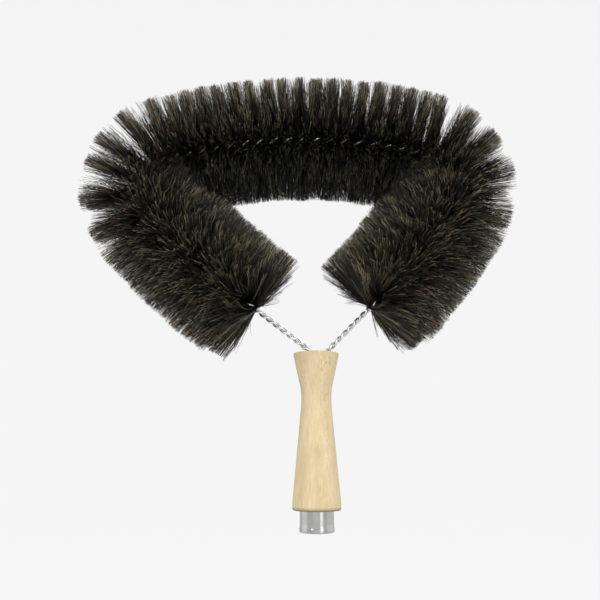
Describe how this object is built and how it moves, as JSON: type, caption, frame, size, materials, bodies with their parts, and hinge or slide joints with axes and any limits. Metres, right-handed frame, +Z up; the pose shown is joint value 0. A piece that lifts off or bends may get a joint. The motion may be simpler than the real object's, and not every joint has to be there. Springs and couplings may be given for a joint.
{
  "type": "ceiling dusting brush",
  "caption": "Twisted-wire horsehair dusting brush bent into a wide loop, set in a turned wooden handle with a metal pole socket at its foot.",
  "frame": {"origin": "centre of the mouth of the pole socket, where the pole goes in", "axes": "+Z runs up the axis of the handle towards the brush, the front is -Y, and the loop of the brush lies in the XZ plane"},
  "size_m": [0.3642, 0.104, 0.3716],
  "materials": {
    "beech": "turned and sanded beech, sealed with a thin matt wax",
    "socket_metal": "satin drawn aluminium tube",
    "wire": "galvanised steel wire, slightly dull",
    "hair": "natural dark brown and black horsehair with paler trimmed tips"
  },
  "bodies": {
    "root": {"handle": "beech", "pole_socket": "socket_metal", "wire_strand_a": "wire", "wire_strand_b": "wire", "tuft_01": "hair", "tuft_02": "hair", "tuft_03": "hair", "tuft_04": "hair", "tuft_05": "hair", "tuft_06": "hair", "tuft_07": "hair", "tuft_08": "hair", "tuft_09": "hair", "tuft_10": "hair", "tuft_11": "hair", "tuft_12": "hair", "tuft_13": "hair", "tuft_14": "hair", "tuft_15": "hair", "tuft_16": "hair", "tuft_17": "hair", "tuft_18": "hair", "tuft_19": "hair", "tuft_20": "hair", "tuft_21": "hair", "tuft_22": "hair", "tuft_23": "hair", "tuft_24": "hair", "tuft_25": "hair", "tuft_26": "hair", "tuft_27": "hair", "tuft_28": "hair", "tuft_29": "hair", "tuft_30": "hair", "tuft_31": "hair", "tuft_32": "hair", "tuft_33": "hair", "tuft_34": "hair", "tuft_35": "hair", "tuft_36": "hair", "tuft_37": "hair", "tuft_38": "hair", "tuft_39": "hair", "tuft_40": "hair", "tuft_41": "hair", "tuft_42": "hair", "tuft_43": "hair", "tuft_44": "hair", "tuft_45": "hair", "tuft_46": "hair", "tuft_47": "hair"}
  },
  "joints": []
}
